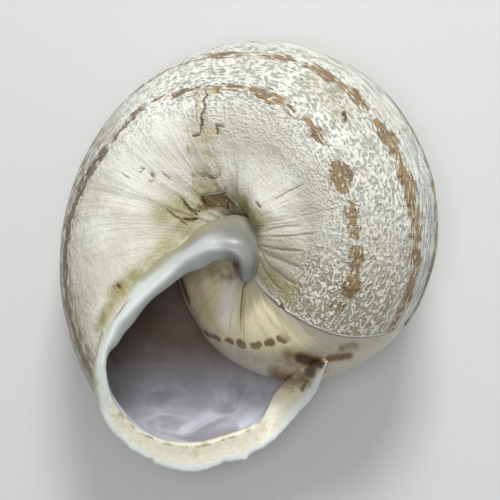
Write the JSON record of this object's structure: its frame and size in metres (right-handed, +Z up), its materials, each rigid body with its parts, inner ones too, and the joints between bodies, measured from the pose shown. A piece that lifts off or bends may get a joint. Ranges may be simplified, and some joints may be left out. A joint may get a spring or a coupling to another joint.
{
  "type": "chocolate-band snail shell",
  "caption": "Empty banded land snail shell, coiled to the right with a low spire, a flared white lip and a closed navel, lying mouth up.",
  "frame": {"origin": "on the floor under the middle of the shell's bounding box", "axes": "+Z up with the mouth facing up, +X to the right and +Y to the top of the picture"},
  "size_m": [0.0238, 0.0264, 0.0141],
  "materials": {
    "shell": "matte"
  },
  "bodies": {
    "root": {"shell": "shell"}
  },
  "joints": []
}
